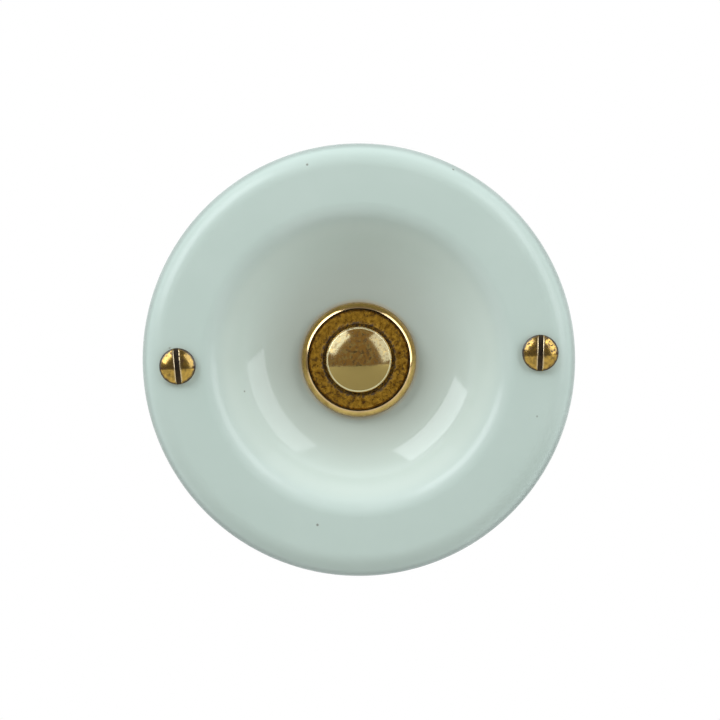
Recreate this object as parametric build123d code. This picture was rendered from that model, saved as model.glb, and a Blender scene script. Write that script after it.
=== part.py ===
from build123d import *
import os
from math import asin, cos, degrees, hypot, radians, sin, sqrt

# Flush bell push: a dished porcelain plate with a sprung brass button at the bottom of its bowl.
# Each piece is drawn on a local Z axis that points out of the wall, with the wall at Z = 0, and is
# turned into place at the end, where the button faces -Y and +Z is up. Sizes are millimetres and degrees.

# Plate screws
screw_spacing = 60.0
screw_thread_diameter = 3.0
screw_thread_depth = 0.2
screw_length = 25.0
screw_head_diameter = 6.0
screw_head_height = 1.8
screw_crown_radius = 4.8
screw_slot_width = 0.8
screw_slot_depth = 1.2
screw_slot_angles = (3.6, -4.15)
screw_hole_gap = 0.3

# Porcelain plate. The margin runs from a screw's axis to the plate's edge.
screw_margin = 6.0
rim_width = 9.7
plate_height = 14.0
plate_edge_radius = 4.0
plate_wall = 4.5
plate_floor = 5.0
foot_radius = 0.8
bowl_depth = 8.7
lip_radius = 4.3
bowl_angle = 44.0
seat_margin = 0.05
back_pad_margin = 0.5
cavity_fillet = 2.5
boss_wall = 2.4

# Button, from its dome back to the pin that guides it
button_diameter = 11.0
button_gap = 0.35
button_stand = 2.1
button_edge_radius = 0.8
dome_radius = 9.6
collar_width = 0.95
collar_gap = 0.15
collar_thickness = 1.5
stem_shoulder = 0.75
pin_diameter = 2.5
travel = 2.0

# Bush round the button, and the bezel ring that screws on it
bush_wall = 1.85
front_wall = 3.0
mouth_chamfer = 0.2
thread_chamfer = 0.35
thread_gap = 0.15
bezel_lip = 1.05
bezel_round = 1.7
bezel_height = 1.8
face_recess = 0.35
plate_hole_gap = 0.2
ring_gasket_inset = 0.2
ring_gasket_thickness = 0.3
rear_gasket_thickness = 0.8
flange_thickness = 2.0
flange_overhang = 1.2
flange_flat_margin = 0.2
cup_wall = 1.6
edge_break = 0.3

# Bridge disc and its insulation on the pin
pin_gap = 0.04
seat_gap = 0.02
sleeve_wall = 0.6
insulator_rim = 1.1
insulator_flange = 0.8
insulating_washer_thickness = 0.6
disc_overlap = 2.2
disc_thickness = 0.5
disc_gap = 0.5
clip_reach = 1.15
clip_thickness = 0.5
clip_groove_depth = 0.25
clip_opening = 1.8

# Return spring
spring_length = 6.0
spring_wire = 0.5
spring_gap = 0.35
spring_turns = 3

# Contact strips and terminals
strip_width = 5.0
strip_thickness = 0.5
strip_bend_radius = 0.3
strip_gap = 0.05
contact_margin = 0.55
contact_arm = 3.0
contact_gap = 0.05
dimple_diameter = 1.6
dimple_height = 0.3
terminal_gap = 1.25
terminal_leg_gap = 1.45
terminal_thread_diameter = 3.0
terminal_length = 4.5
terminal_head_diameter = 5.4
terminal_head_height = 1.7
terminal_head_chamfer = 0.4
terminal_slot_width = 0.8
terminal_slot_depth = 0.9
clamp_washer_diameter = 5.2
clamp_washer_thickness = 0.5

# Contact block and the ring that holds it
block_thickness = 4.5
block_flange_thickness = 2.0
block_wall = 0.45
block_ledge = 0.7
block_gap = 0.1
guide_boss_gap = 0.5
guide_boss_height = 1.0
guide_engagement = 1.5
guide_gap = 0.07
pin_end_gap = 0.2
retaining_ring_width = 1.7
retaining_ring_thickness = 1.5
retaining_slot_width = 1.6
rib_width = 1.5
rib_height = 3.0

# Radii of the plate
plate_radius = screw_spacing / 2 + screw_margin
mouth_radius = plate_radius - rim_width
skirt_radius = plate_radius - plate_wall
screw_hole_radius = screw_thread_diameter / 2 + screw_hole_gap

# Radii from the button out to the bowl
button_radius = button_diameter / 2
collar_radius = button_radius + collar_width
collar_bore_radius = collar_radius + collar_gap
bush_radius = collar_bore_radius + bush_wall
plate_hole_radius = bush_radius + plate_hole_gap
bezel_bore_radius = bush_radius + thread_gap
bezel_radius = bezel_bore_radius + bezel_lip
ring_gasket_radius = bezel_radius - ring_gasket_inset
seat_radius = ring_gasket_radius + seat_margin

# Radii from the pin out to the cup behind the plate
pin_radius = pin_diameter / 2
sleeve_radius = pin_radius + pin_gap + sleeve_wall
insulator_radius = sleeve_radius + insulator_rim
spring_bore_radius = insulator_radius + spring_gap
contact_inner = spring_bore_radius + spring_wire + contact_margin
disc_radius = contact_inner + disc_overlap
strip_outer = contact_inner + contact_arm
block_rear_radius = hypot(strip_outer + strip_gap, strip_width / 2 + strip_gap) + block_wall
retaining_bore_radius = block_rear_radius + block_gap
block_radius = retaining_bore_radius + retaining_ring_width
ring_bore_radius = block_radius + block_gap
chamber_radius = block_radius - block_ledge
cup_radius = ring_bore_radius + cup_wall
flange_radius = cup_radius + flange_overhang
back_pad_radius = flange_radius + back_pad_margin
terminal_hole_radius = terminal_thread_diameter / 2 + strip_gap
terminal_x = rib_width / 2 + terminal_gap + terminal_head_diameter / 2

# Heights on the common axis, from the bowl's seat back to the terminals
seat_z = plate_height - bowl_depth
pad_z = seat_z - plate_floor
under_rim_z = plate_height - plate_wall
ring_bottom_z = seat_z + ring_gasket_thickness
ring_top_z = ring_bottom_z + bezel_height
face_z = ring_top_z - face_recess
stop_z = face_z - front_wall
flange_front_z = pad_z - rear_gasket_thickness
chamber_z = flange_front_z - flange_thickness
disc_front_z = chamber_z - disc_gap
disc_rear_z = disc_front_z - disc_thickness
shoulder_z = disc_front_z + insulator_flange
clip_front_z = disc_rear_z - insulating_washer_thickness
contact_z = disc_rear_z - travel - contact_gap
block_front_z = disc_rear_z - spring_length
pin_end_z = block_front_z - guide_engagement
ring_seat_z = block_front_z - block_flange_thickness
bush_rear_z = ring_seat_z - retaining_ring_thickness
block_rear_z = block_front_z - block_thickness
washer_front_z = block_rear_z - strip_thickness
under_head_z = washer_front_z - clamp_washer_thickness


def spun(edges):
    """A solid of revolution about Z from the closed outline of its half section, as (radius, height)."""
    return revolve(Plane.XZ * make_face(edges), Axis.Z)


def turned(*corners):
    return spun(Polyline(*corners, close=True).edges())


def washer(outer, inner, bottom, top):
    return turned((inner, bottom), (outer, bottom), (outer, top), (inner, top))


def rod(radius, bottom, top, x=0.0):
    return Pos(x, 0, bottom) * Cylinder(radius, top - bottom, align=(Align.CENTER, Align.CENTER, Align.MIN))


def slab(x_range, y_range, z_range):
    """A box between two values on each axis, given in either order."""
    ranges = [sorted(r) for r in (x_range, y_range, z_range)]
    corner = [low for low, high in ranges]
    sizes = [high - low for low, high in ranges]
    return Pos(*corner) * Box(*sizes, align=(Align.MIN, Align.MIN, Align.MIN))


def rim(shape, radius, height):
    """The round edge about Z that has this radius and height."""
    return shape.edges().filter_by(GeomType.CIRCLE).sort_by_distance((radius, 0, height))[0]


def make_plate():
    # The bowl is a cone between two arcs: the lip above it, and a wide blend that runs out on the flat seat.
    slope = radians(bowl_angle)
    reach = (mouth_radius - seat_radius) * sin(slope) - bowl_depth * cos(slope)
    blend_radius = reach / (1 - cos(slope)) - lip_radius
    blend_centre_z = seat_z + blend_radius
    lip = JernArc((mouth_radius, plate_height), (-1, 0), lip_radius, bowl_angle)
    blend = JernArc((seat_radius, seat_z), (1, 0), blend_radius, bowl_angle)
    edge = RadiusArc(
        (plate_radius - plate_edge_radius, plate_height),
        (plate_radius, plate_height - plate_edge_radius),
        plate_edge_radius,
    )
    # The back of the bowl follows its front, a wall's thickness behind.
    back_radius = blend_radius + plate_wall
    back_bend = (seat_radius + back_radius * sin(slope), blend_centre_z - back_radius * cos(slope))
    back_top = (back_bend[0] + (under_rim_z - back_bend[1]) * cos(slope) / sin(slope), under_rim_z)
    pad_slope = asin((back_pad_radius - seat_radius) / back_radius)
    back_low = (back_pad_radius, blend_centre_z - back_radius * cos(pad_slope))
    section = [
        Line((mouth_radius, plate_height), edge @ 0),
        edge,
        Line(edge @ 1, (plate_radius, 0)),
        Line((plate_radius, 0), (skirt_radius, 0)),
        Line((skirt_radius, 0), (skirt_radius, under_rim_z)),
        Line((skirt_radius, under_rim_z), back_top),
        Line(back_top, back_bend),
        RadiusArc(back_bend, back_low, back_radius),
        Line(back_low, (back_pad_radius, pad_z)),
        Line((back_pad_radius, pad_z), (plate_hole_radius, pad_z)),
        Line((plate_hole_radius, pad_z), (plate_hole_radius, seat_z)),
        Line((plate_hole_radius, seat_z), (seat_radius, seat_z)),
        blend,
        Line(blend @ 1, lip @ 1),
        lip,
    ]
    plate = spun(section)
    plate = fillet(rim(plate, skirt_radius, under_rim_z), cavity_fillet)
    plate = fillet(rim(plate, plate_radius, 0), foot_radius)
    # A boss inside the skirt carries each screw hole down to the wall.
    inside = rod(skirt_radius + plate_wall / 2, 0, under_rim_z + plate_wall / 2)
    for x in (-screw_spacing / 2, screw_spacing / 2):
        plate += rod(screw_hole_radius + boss_wall, 0, plate_height, x) & inside
        plate -= rod(screw_hole_radius, 0, plate_height, x)
    return plate


def make_plate_screw(x, slot_angle):
    head_radius = screw_head_diameter / 2
    thread_radius = screw_thread_diameter / 2
    shank_radius = thread_radius - screw_thread_depth
    tip_z = plate_height - screw_length
    top_z = plate_height + screw_head_height
    edge_z = top_z - screw_crown_radius + sqrt(screw_crown_radius**2 - head_radius**2)
    # The shank is waisted inside the plate, and its thread starts at the wall.
    outline = Polyline(
        (0, top_z), (0, tip_z), (shank_radius, tip_z), (thread_radius, tip_z + screw_thread_depth),
        (thread_radius, 0), (shank_radius, 0), (shank_radius, plate_height),
        (head_radius, plate_height), (head_radius, edge_z),
    )
    crown = RadiusArc((0, top_z), (head_radius, edge_z), screw_crown_radius)
    slot = slab(
        (-screw_slot_width / 2, screw_slot_width / 2),
        (-screw_head_diameter, screw_head_diameter),
        (top_z - screw_slot_depth, top_z + screw_head_height),
    )
    return Pos(x, 0, 0) * (spun(outline.edges() + [crown]) - Rot(0, 0, slot_angle) * slot)


def make_plate_screws():
    left_angle, right_angle = screw_slot_angles
    half = screw_spacing / 2
    return [make_plate_screw(-half, left_angle), make_plate_screw(half, right_angle)]


def make_bezel_ring():
    # The round runs from the side up to the bore, with no flat on top.
    shoulder = ring_top_z - sqrt(bezel_round**2 - (bezel_round - bezel_lip) ** 2)
    outline = Polyline(
        (bezel_bore_radius, ring_top_z), (bezel_bore_radius, ring_bottom_z),
        (bezel_radius, ring_bottom_z), (bezel_radius, shoulder),
    )
    crown = RadiusArc((bezel_bore_radius, ring_top_z), (bezel_radius, shoulder), bezel_round)
    return spun(outline.edges() + [crown])


def make_ring_gasket():
    return washer(ring_gasket_radius, plate_hole_radius, seat_z, ring_bottom_z)


def make_rear_gasket():
    return washer(flange_radius, plate_hole_radius, flange_front_z, pad_z)


def make_threaded_bush():
    hole = button_radius + button_gap
    bush = turned(
        (hole, stop_z), (hole, face_z - mouth_chamfer), (hole + mouth_chamfer, face_z),
        (bush_radius - thread_chamfer, face_z), (bush_radius, face_z - thread_chamfer),
        (bush_radius, flange_front_z), (flange_radius, flange_front_z), (flange_radius, chamber_z),
        (cup_radius, chamber_z), (cup_radius, bush_rear_z + edge_break),
        (cup_radius - edge_break, bush_rear_z), (ring_bore_radius, bush_rear_z),
        (ring_bore_radius, block_front_z), (chamber_radius, block_front_z), (chamber_radius, chamber_z),
        (collar_bore_radius, chamber_z), (collar_bore_radius, stop_z),
    )
    # Two flats on the flange hold the bush while the bezel ring is screwed on.
    flat = cup_radius + flange_flat_margin
    reach = (-flange_radius, flange_radius)
    for side in (-1, 1):
        bush -= slab((side * flat, side * flange_radius), reach, (chamber_z, flange_front_z))
    return bush


def make_push_button():
    stem_radius = pin_radius + stem_shoulder
    groove_radius = pin_radius - clip_groove_depth
    groove_z = clip_front_z - clip_thickness - seat_gap
    collar_top = stop_z - seat_gap
    collar_bottom = collar_top - collar_thickness
    dome_base = face_z + button_stand
    dome_top = dome_base + dome_radius - sqrt(dome_radius**2 - button_radius**2)
    outline = Polyline(
        (0, dome_top), (0, pin_end_z), (pin_radius - edge_break, pin_end_z),
        (pin_radius, pin_end_z + edge_break), (pin_radius, groove_z), (groove_radius, groove_z),
        (groove_radius, clip_front_z), (pin_radius, clip_front_z), (pin_radius, shoulder_z),
        (stem_radius, shoulder_z), (stem_radius, collar_bottom), (collar_radius, collar_bottom),
        (collar_radius, collar_top), (button_radius, collar_top), (button_radius, dome_base),
    )
    dome = RadiusArc((0, dome_top), (button_radius, dome_base), dome_radius)
    button = spun(outline.edges() + [dome])
    return fillet(rim(button, button_radius, dome_base), button_edge_radius)


def make_insulating_bush():
    bore = pin_radius + pin_gap
    sleeve_end = disc_rear_z + seat_gap
    return turned(
        (bore, shoulder_z), (insulator_radius, shoulder_z), (insulator_radius, disc_front_z),
        (sleeve_radius, disc_front_z), (sleeve_radius, sleeve_end), (bore, sleeve_end),
    )


def make_bridge_disc():
    return washer(disc_radius, sleeve_radius + pin_gap, disc_rear_z, disc_front_z)


def make_insulating_washer():
    return washer(insulator_radius, pin_radius + pin_gap, clip_front_z, disc_rear_z)


def make_stem_clip():
    outer = pin_radius + clip_reach
    bottom = clip_front_z - clip_thickness
    clip = washer(outer, pin_radius - clip_groove_depth + pin_gap, bottom, clip_front_z)
    return clip - slab((-clip_opening / 2, clip_opening / 2), (-outer, 0), (bottom, clip_front_z))


def make_return_spring():
    """Half turns of round wire, each tilted to climb, with a flat half turn at both ends."""
    radius = spring_bore_radius + spring_wire / 2
    climb = (spring_length - spring_wire) / (2 * spring_turns)
    climbs = [0.0] + [climb] * (2 * spring_turns) + [0.0]
    height = block_front_z + spring_wire / 2
    spring = None
    for index, rise in enumerate(climbs):
        sweep_radius = hypot(radius, rise / 2)
        wire = Plane((sweep_radius, 0, 0), z_dir=(0, 1, 0)) * Circle(spring_wire / 2)
        tilt = degrees(asin(rise / 2 / sweep_radius))
        turn = Rot(0, 0, 180 * index) * Rot(0, tilt, 0) * revolve(wire, Axis.Z, 180)
        turn = Pos(0, 0, height + rise / 2) * turn
        spring = turn if spring is None else spring + turn
        height += rise
    return spring


def make_contact_block():
    guide = pin_radius + guide_gap
    guide_end = pin_end_z - travel - pin_end_gap
    boss_radius = spring_bore_radius - guide_boss_gap
    boss_z = block_front_z + guide_boss_height
    block = turned(
        (0, block_rear_z), (block_rear_radius - edge_break, block_rear_z),
        (block_rear_radius, block_rear_z + edge_break), (block_rear_radius, ring_seat_z),
        (block_radius, ring_seat_z), (block_radius, block_front_z), (boss_radius, block_front_z),
        (boss_radius, boss_z), (guide, boss_z), (guide, guide_end), (0, guide_end),
    )
    # An insulating rib stands between the two terminals, rounded along its free edges.
    rib_reach = block_rear_radius - edge_break - rib_width / 2
    rib = slab(
        (-rib_width / 2, rib_width / 2),
        (-rib_reach, rib_reach),
        (block_rear_z - rib_height, block_rear_z),
    )
    block += fillet(rib.edges().filter_by(Axis.Z) + rib.faces().sort_by(Axis.Z)[0].edges(), edge_break)
    slot_half = strip_width / 2 + strip_gap
    slot_inner = strip_outer - strip_thickness - strip_gap
    slot_outer = strip_outer + strip_gap
    screw_end = under_head_z + terminal_length + strip_gap
    for side in (-1, 1):
        slot_x = (side * slot_inner, side * slot_outer)
        block -= slab(slot_x, (-slot_half, slot_half), (block_rear_z, block_front_z))
        block -= rod(terminal_hole_radius, block_rear_z, screw_end, side * terminal_x)
    return block


def make_retaining_ring():
    ring = washer(block_radius, retaining_bore_radius, bush_rear_z, ring_seat_z)
    slot_end = bush_rear_z + retaining_ring_thickness / 2
    half = retaining_slot_width / 2
    return ring - slab((-half, half), (-block_radius, block_radius), (bush_rear_z, slot_end))


def make_contact_strip(turn):
    inner = strip_outer - strip_thickness
    arm_top = contact_z - dimple_height
    arm_bottom = arm_top - strip_thickness
    leg_inner = rib_width / 2 + terminal_leg_gap
    section = make_face(Polyline(
        (contact_inner, arm_top), (strip_outer, arm_top), (strip_outer, washer_front_z),
        (leg_inner, washer_front_z), (leg_inner, block_rear_z), (inner, block_rear_z),
        (inner, arm_bottom), (contact_inner, arm_bottom), close=True,
    ).edges())
    bends = [section.vertices().sort_by_distance((strip_outer, z))[0] for z in (arm_top, washer_front_z)]
    strip = extrude(Plane.XZ * fillet(bends, strip_bend_radius), strip_width / 2, both=True)
    strip += rod(dimple_diameter / 2, arm_top, contact_z, contact_inner + disc_overlap / 2)
    strip -= rod(terminal_hole_radius, washer_front_z, block_rear_z, terminal_x)
    return Rot(0, 0, turn) * strip


def make_clamp_washers():
    one = washer(clamp_washer_diameter / 2, terminal_hole_radius, under_head_z, washer_front_z)
    return [Pos(side * terminal_x, 0, 0) * one for side in (-1, 1)]


def make_terminal_screws():
    head_end = under_head_z - terminal_head_height
    head_radius = terminal_head_diameter / 2
    thread_radius = terminal_thread_diameter / 2
    thread_end = under_head_z + terminal_length
    screw = turned(
        (0, head_end), (head_radius - terminal_head_chamfer, head_end),
        (head_radius, head_end + terminal_head_chamfer), (head_radius, under_head_z),
        (thread_radius, under_head_z), (thread_radius, thread_end), (0, thread_end),
    )
    half = terminal_slot_width / 2
    screw -= slab((-half, half), (-head_radius, head_radius), (head_end, head_end + terminal_slot_depth))
    return [Pos(side * terminal_x, 0, 0) * screw for side in (-1, 1)]


pieces = {
    "porcelain_plate": make_plate(),
    "plate_screws": make_plate_screws(),
    "bezel_ring": make_bezel_ring(),
    "ring_gasket": make_ring_gasket(),
    "rear_gasket": make_rear_gasket(),
    "threaded_bush": make_threaded_bush(),
    "push_button": make_push_button(),
    "insulating_bush": make_insulating_bush(),
    "bridge_disc": make_bridge_disc(),
    "insulating_washer": make_insulating_washer(),
    "stem_clip": make_stem_clip(),
    "return_spring": make_return_spring(),
    "contact_block": make_contact_block(),
    "retaining_ring": make_retaining_ring(),
    "contact_strip_left": make_contact_strip(180),
    "contact_strip_right": make_contact_strip(0),
    "clamp_washers": make_clamp_washers(),
    "terminal_screws": make_terminal_screws(),
}

os.makedirs("parts", exist_ok=True)
for name, piece in pieces.items():
    drawn = piece if isinstance(piece, list) else [piece]
    solids = [solid for shape in drawn for solid in shape.solids()]
    node = Rot(90, 0, 0) * Compound(children=solids)
    export_step(node, f"parts/{name}.step")
    print(name, len(solids), node.bounding_box().size)
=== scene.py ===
import math
import bmesh
import bpy
from mathutils import Matrix, Vector


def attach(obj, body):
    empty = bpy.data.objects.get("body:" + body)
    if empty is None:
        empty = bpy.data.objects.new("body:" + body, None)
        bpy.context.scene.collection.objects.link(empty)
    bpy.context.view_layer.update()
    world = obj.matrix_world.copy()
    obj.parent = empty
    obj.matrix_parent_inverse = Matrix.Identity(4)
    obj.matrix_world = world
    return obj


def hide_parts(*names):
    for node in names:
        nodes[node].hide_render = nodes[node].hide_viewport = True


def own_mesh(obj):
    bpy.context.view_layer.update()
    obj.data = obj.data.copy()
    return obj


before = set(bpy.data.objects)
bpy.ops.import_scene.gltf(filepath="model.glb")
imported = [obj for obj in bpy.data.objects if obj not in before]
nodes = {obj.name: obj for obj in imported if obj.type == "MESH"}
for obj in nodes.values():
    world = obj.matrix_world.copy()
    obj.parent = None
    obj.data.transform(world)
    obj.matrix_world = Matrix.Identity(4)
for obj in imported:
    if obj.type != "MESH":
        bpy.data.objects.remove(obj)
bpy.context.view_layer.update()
scene = bpy.context.scene
mm = 0.001
weld = 0.0004 * mm  # points nearer than this become one
nodeGap = 190
print("frame:", len(nodes), "nodes")


# helpers for node trees
def addNode(tree, kind, inputs=None, **props):
    made = tree.nodes.new(kind)
    made.location.x = nodeGap * len(tree.nodes)
    for name, value in props.items():
        setattr(made, name, value)
    for name, value in (inputs or {}).items():
        socket = made.inputs[name]
        if isinstance(value, bpy.types.NodeSocket):
            tree.links.new(value, socket)
        else:
            socket.default_value = value
    return made


def mathNode(tree, operation, a, b=0.0, clamp=False):
    return addNode(tree, "ShaderNodeMath", {0: a, 1: b}, operation=operation, use_clamp=clamp).outputs[0]


def integerNode(tree, operation, a, b):
    return addNode(tree, "FunctionNodeIntegerMath", {0: a, 1: b}, operation=operation).outputs[0]


def mixColour(tree, share, a, b):
    return addNode(tree, "ShaderNodeMix", {0: share, 6: a, 7: b}, data_type="RGBA").outputs[2]


def rampNode(tree, value, low, high, toLow=0.0, toHigh=1.0, soft=True):
    kind = "SMOOTHSTEP" if soft else "LINEAR"
    inputs = {"Value": value, "From Min": low, "From Max": high, "To Min": toLow, "To Max": toHigh}
    return addNode(tree, "ShaderNodeMapRange", inputs, interpolation_type=kind).outputs[0]


# a socket is given by its default value, or by its kind where it has none
def socketKind(value):
    if isinstance(value, str):
        return "NodeSocket" + value
    if isinstance(value, tuple):
        return "NodeSocketColor" if len(value) == 4 else "NodeSocketVector"
    return "NodeSocketInt" if isinstance(value, int) else "NodeSocketFloat"


def newGroup(name, kind, inputs, outputs):
    tree = bpy.data.node_groups.new(name, kind)
    for side, sockets in (("INPUT", inputs), ("OUTPUT", outputs)):
        for label, value in sockets.items():
            socket = tree.interface.new_socket(label, in_out=side, socket_type=socketKind(value))
            if not isinstance(value, str):
                socket.default_value = value
    return tree, tree.nodes.new("NodeGroupInput").outputs, tree.nodes.new("NodeGroupOutput").inputs


def newMaterial(name):
    material = bpy.data.materials.new(name)
    material.use_nodes = True
    tree = material.node_tree
    return material, tree, tree.nodes["Principled BSDF"]


def setBump(tree, shader, height, distance):
    bump = addNode(tree, "ShaderNodeBump", {"Height": height, "Distance": distance, "Strength": 1.0})
    tree.links.new(bump.outputs[0], shader.inputs["Normal"])


# brass that has aged: brown blotches and small pits; rub 1 makes it bright (wear, and on the button's edge
# round a painted highlight), -1 makes it dark (dirt, and on the bezel's outer edge and the screw heads' rims
# painted shade)
ageing = {
    "speck": (0.35, 0.65), "dirtGain": -1.5, "dirtMost": 0.93, "wear": 0.9,
    "blotch": (0.3, 0.7, -0.65, 0.65), "relief": 0.35,
    "pit": (0.54, 0.64), "pitColour": (0.05, 0.022, 0.014, 1),
    "brownRough": 0.1, "wornRough": 0.2, "dirtRough": 0.35,
}


def makeAgedBrass():
    tree, given, result = newGroup("agedBrass", "ShaderNodeTree", {
        "Bright": (0.6, 0.42, 0.13, 1),
        "Tarnish": (0.36, 0.2, 0.03, 1),
        "Worn And Highlight": (1.0, 0.9, 0.68, 1),
        "Dirt And Shade": (0.012, 0.008, 0.006, 1),
        "Dirt Speckle": 0.6,
        "Tarnish Share": 0.5,
        "Film": 0.0,
        "Blotch Scale": 1200.0,
        "Pit Scale": 2600.0,
        "Pit Share": 0.5,
        "Polish": 0.12,
    }, {"Color": "Color", "Metallic": "Float", "Roughness": "Float", "Height": "Float"})
    place = addNode(tree, "ShaderNodeTexCoord").outputs["Object"]
    blotch = addNode(tree, "ShaderNodeTexNoise", {
        "Vector": place, "Scale": given["Blotch Scale"], "Detail": 4.0, "Roughness": 0.65, "Distortion": 0.35,
    }).outputs[0]
    speck = addNode(tree, "ShaderNodeTexNoise", {
        "Vector": place, "Scale": given["Pit Scale"], "Detail": 2.0, "Roughness": 0.5,
    }).outputs[0]
    rub = addNode(tree, "ShaderNodeAttribute", attribute_name="rub").outputs["Fac"]
    clear = mathNode(tree, "MULTIPLY", rampNode(tree, speck, *ageing["speck"]), given["Dirt Speckle"])
    dirtAndShade = mathNode(tree, "SUBTRACT", mathNode(tree, "MULTIPLY", rub, ageing["dirtGain"]), clear)
    dirtAndShade = mathNode(tree, "MINIMUM", mathNode(tree, "MAXIMUM", dirtAndShade, 0.0), ageing["dirtMost"])
    wearAndHighlight = mathNode(tree, "MULTIPLY", rub, ageing["wear"], clamp=True)
    brown = rampNode(tree, blotch, *ageing["blotch"], soft=False)
    brown = mathNode(tree, "ADD", brown, given["Tarnish Share"])
    brown = mathNode(tree, "SUBTRACT", brown, wearAndHighlight, clamp=True)
    pit = mathNode(tree, "MULTIPLY", rampNode(tree, speck, *ageing["pit"]), given["Pit Share"])
    colour = mixColour(tree, brown, given["Bright"], given["Tarnish"])
    colour = mixColour(tree, wearAndHighlight, colour, given["Worn And Highlight"])
    colour = mixColour(tree, pit, colour, ageing["pitColour"])
    colour = mixColour(tree, dirtAndShade, colour, given["Dirt And Shade"])
    film = mathNode(tree, "MULTIPLY", mathNode(tree, "SUBTRACT", brown, pit, clamp=True), given["Film"])
    metal = mathNode(tree, "SUBTRACT", 1.0, mathNode(tree, "MAXIMUM", film, dirtAndShade))
    rough = mathNode(tree, "ADD", given["Polish"], mathNode(tree, "MULTIPLY", brown, ageing["brownRough"]))
    rough = mathNode(tree, "ADD", rough, mathNode(tree, "MULTIPLY", wearAndHighlight, ageing["wornRough"]))
    grimy = mathNode(tree, "MULTIPLY", mathNode(tree, "ADD", pit, dirtAndShade), ageing["dirtRough"])
    rough = mathNode(tree, "ADD", rough, grimy)
    height = mathNode(tree, "SUBTRACT", mathNode(tree, "MULTIPLY", blotch, ageing["relief"]), pit)
    for label, value in (("Color", colour), ("Metallic", metal), ("Roughness", rough), ("Height", height)):
        tree.links.new(value, result[label])
    return tree


agedBrass = makeAgedBrass()


# values hold past the zone's line across one axis, and the zone's second set gives those on its other side;
# on the bezel, dome and screws this leaves the top darker and the bottom brighter, partly tarnish and partly
# a painted reflection of the dark room above and the pale floor below
def makeBrass(name, values, bumpDepth, zone=None, gloss=None):
    material, tree, shader = newMaterial(name)
    aged = addNode(tree, "ShaderNodeGroup", node_tree=agedBrass)
    for label, value in values.items():
        aged.inputs[label].default_value = value
    for label, value in (gloss or {}).items():
        shader.inputs[label].default_value = value
    if zone:
        place = addNode(tree, "ShaderNodeTexCoord").outputs["Object"]
        axis = addNode(tree, "ShaderNodeSeparateXYZ", {0: place}).outputs[zone["axis"]]
        kept = rampNode(tree, axis, zone["line"][0] * mm, zone["line"][1] * mm)
        for label, cleanAndLit in zone["cleanAndLit"].items():
            if isinstance(cleanAndLit, tuple):
                blend = mixColour(tree, kept, cleanAndLit, values[label])
            else:
                blend = rampNode(tree, kept, 0.0, 1.0, cleanAndLit, values[label], soft=False)
            tree.links.new(blend, aged.inputs[label])
    for label, socket in (("Color", "Base Color"), ("Metallic", "Metallic"), ("Roughness", "Roughness")):
        tree.links.new(aged.outputs[label], shader.inputs[socket])
    setBump(tree, shader, aged.outputs["Height"], bumpDepth * mm)
    return material


# bezel: darker on top and cleaner below, partly tarnish and partly painted reflection
bezelBrass = makeBrass("bezelBrass", {
    "Bright": (0.8, 0.51, 0.16, 1), "Tarnish": (0.45, 0.265, 0.06, 1), "Tarnish Share": 1.1,
    "Dirt And Shade": (0.26, 0.165, 0.045, 1), "Blotch Scale": 320, "Pit Scale": 2600, "Pit Share": 0.0, "Polish": 0.04,
}, 0.001, {"axis": 2, "line": (-2.0, 2.0), "cleanAndLit": {"Tarnish Share": 0.3}}, {"Coat Weight": 0.45})
faceBrass = makeBrass("faceBrass", {
    "Bright": (1.0, 0.58, 0.075, 1), "Tarnish": (0.26, 0.12, 0.012, 1), "Tarnish Share": 0.48,
    "Dirt And Shade": (0.045, 0.026, 0.018, 1), "Dirt Speckle": 1.1,
    "Blotch Scale": 1400, "Pit Scale": 1900, "Pit Share": 0.75, "Polish": 0.2,
}, 0.004, {"axis": 1, "line": (-5.0, -6.5), "cleanAndLit": {
    "Bright": (0.66, 0.47, 0.18, 1), "Tarnish": (0.48, 0.31, 0.09, 1),
    "Tarnish Share": 0.3, "Pit Share": 0.15,
}})
# dome: a brown film above the line and clean brass below it, partly tarnish and partly a painted reflection
# of the dark room above and the pale floor below
domeBrass = makeBrass("domeBrass", {
    "Bright": (0.42, 0.31, 0.1, 1), "Tarnish": (0.155, 0.062, 0.001, 1), "Tarnish Share": 1.0, "Film": 0.95,
    "Worn And Highlight": (1.0, 0.84, 0.54, 1), "Dirt And Shade": (0.1, 0.07, 0.035, 1),
    "Blotch Scale": 1300, "Pit Scale": 2100, "Pit Share": 0.4, "Polish": 0.05,
}, 0.0006, {"axis": 2, "line": (-1.3, -0.8), "cleanAndLit": {"Tarnish Share": -0.7, "Pit Share": 0.0}},
    {"Coat Weight": 0.1, "IOR": 2.15, "Specular Tint": (1.0, 1.0, 0.6, 1)})
# screws: darker on top and cleaner below, partly tarnish and partly painted reflection
screwBrass = makeBrass("screwBrass", {
    "Bright": (0.72, 0.45, 0.085, 1), "Tarnish": (0.24, 0.155, 0.04, 1), "Tarnish Share": 0.95,
    "Dirt And Shade": (0.016, 0.009, 0.005, 1),
    "Blotch Scale": 1300, "Pit Scale": 1900, "Pit Share": 0.8, "Polish": 0.11,
}, 0.003, {"axis": 2, "line": (-0.6, -0.35), "cleanAndLit": {"Tarnish Share": 0.35, "Pit Share": 0.0}},
    {"Coat Weight": 0.3})
contactBrass = makeBrass("contactBrass", {
    "Bright": (0.66, 0.47, 0.18, 1), "Tarnish": (0.5, 0.33, 0.1, 1), "Tarnish Share": 0.2,
    "Blotch Scale": 500, "Pit Scale": 3000, "Pit Share": 0.1, "Polish": 0.22,
}, 0.001)


# fine grain for the moulded, soft and drawn materials
graining = {"fleck": (0.45, 0.7), "cloudScale": 180.0, "cloudRough": (0.3, 0.7, -0.05, 0.08)}


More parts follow.
